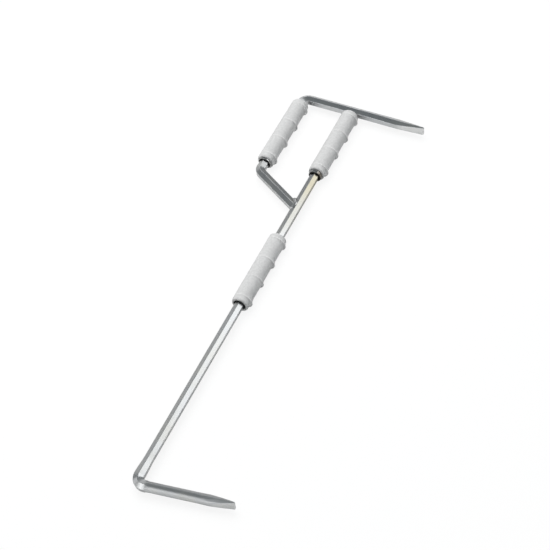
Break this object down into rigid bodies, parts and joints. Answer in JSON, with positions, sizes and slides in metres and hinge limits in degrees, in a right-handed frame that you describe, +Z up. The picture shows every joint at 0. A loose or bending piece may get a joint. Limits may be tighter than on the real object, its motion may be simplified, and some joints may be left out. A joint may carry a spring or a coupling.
{
  "type": "manhole cover lifter",
  "caption": "Hand tool for lifting manhole covers: hexagonal steel bar with a bent chisel foot, a looped head ending in a second chisel, and turning ridged hand grips.",
  "frame": {"origin": "on the floor under the middle of the tool's outline, with the tool lying flat", "axes": "+X towards the two chisel blades, +Y along the shaft from the foot to the head, +Z up off the floor"},
  "size_m": [0.2392, 0.7644, 0.0287],
  "materials": {
    "zinc_steel": "bright zinc plate, satin",
    "tube_zinc": "bright zinc plate",
    "zinc_weld": "zinc plated weld bead",
    "grip_grey": "matt, fine grain",
    "bush_black": "matt"
  },
  "bodies": {
    "frame": {"main_bar": "zinc_steel", "loop_bar": "zinc_steel", "head_weld": "zinc_weld", "strut_weld": "zinc_weld", "stops_left": "zinc_weld", "stops_right": "zinc_weld", "stops_lower": "zinc_weld"},
    "left_handle": {"grip_left": "grip_grey", "tube_left": "tube_zinc", "mouth_bush_left": "bush_black", "top_bush_left": "bush_black"},
    "right_handle": {"grip_right": "grip_grey", "tube_right": "tube_zinc", "mouth_bush_right": "bush_black", "top_bush_right": "bush_black"},
    "lower_handle": {"grip_lower": "grip_grey", "tube_lower": "tube_zinc", "mouth_bush_lower": "bush_black", "top_bush_lower": "bush_black"}
  },
  "joints": [
    {"name": "left_grip_turn", "type": "hinge", "parent": "frame", "child": "left_handle", "pos_m": [-0.10605, 0.29267, 0.01433], "axis": [0, 1, 0], "continuous": true},
    {"name": "right_grip_turn", "type": "hinge", "parent": "frame", "child": "right_handle", "pos_m": [-0.02105, 0.29817, 0.01433], "axis": [0, 1, 0], "continuous": true},
    {"name": "lower_grip_turn", "type": "hinge", "parent": "frame", "child": "lower_handle", "pos_m": [-0.02105, 0.02017, 0.01433], "axis": [0, 1, 0], "continuous": true}
  ]
}
